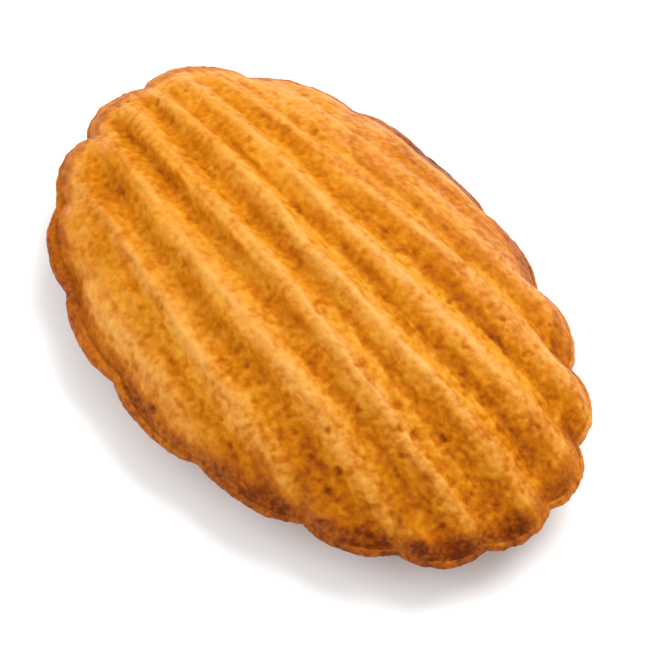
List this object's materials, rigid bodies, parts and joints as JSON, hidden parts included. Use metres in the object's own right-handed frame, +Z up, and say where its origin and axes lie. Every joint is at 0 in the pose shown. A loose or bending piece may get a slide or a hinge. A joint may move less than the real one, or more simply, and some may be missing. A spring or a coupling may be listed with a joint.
{
  "type": "madeleine cake",
  "caption": "Small oval sponge cake with a fan of rounded ribs on its domed shell side, a scalloped rim and a smooth hump underneath to lie on.",
  "frame": {"origin": "on the table under the middle of the cake's length and width", "axes": "+X along the cake to its broad end, +Y across it, +Z up through the ribbed shell"},
  "size_m": [0.0798, 0.0516, 0.0209],
  "materials": {
    "baked_crust": "golden brown sponge cake crust, satin on the ribs, browner and finely pitted along the rim"
  },
  "bodies": {
    "root": {"madeleine": "baked_crust"}
  },
  "joints": []
}
